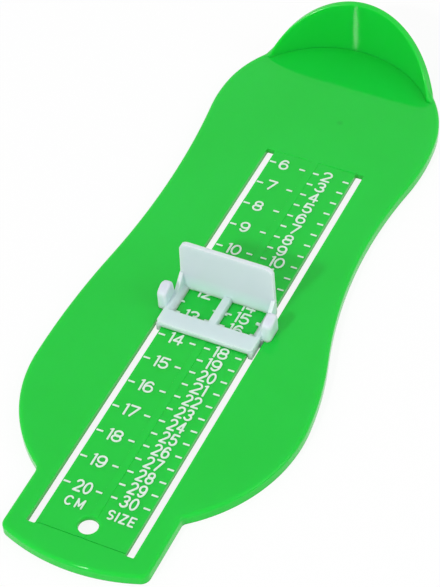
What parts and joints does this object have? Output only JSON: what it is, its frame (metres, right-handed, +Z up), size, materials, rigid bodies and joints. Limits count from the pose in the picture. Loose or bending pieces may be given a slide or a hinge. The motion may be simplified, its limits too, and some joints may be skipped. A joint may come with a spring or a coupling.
{
  "type": "foot measuring device",
  "caption": "Foot-shaped flat plate with an arched heel wall, two long slots, a length scale and a shoe size scale, and a windowed toe slider that rides in the slots.",
  "frame": {"origin": "middle of the plate's outline, on the surface that the part lies on", "axes": "+Y towards the heel wall, +X to the right when read from the toe end, +Z up"},
  "size_m": [0.0862, 0.2276, 0.0228],
  "materials": {
    "plate": "smooth bright green moulding, soft gloss",
    "slider": "smooth milky white moulding, slightly translucent, soft gloss",
    "print": "white hot-stamped foil, satin"
  },
  "bodies": {
    "plate": {"base": "plate", "cm_ticks": "print", "cm_figures": "print", "size_ticks": "print", "size_figures": "print", "column_labels": "print"},
    "slider": {"slider": "slider"}
  },
  "joints": [
    {"name": "toe_slide", "type": "slide", "parent": "plate", "child": "slider", "axis": [0, 1, 0], "range_m": [-0.0786, 0.0662]}
  ]
}
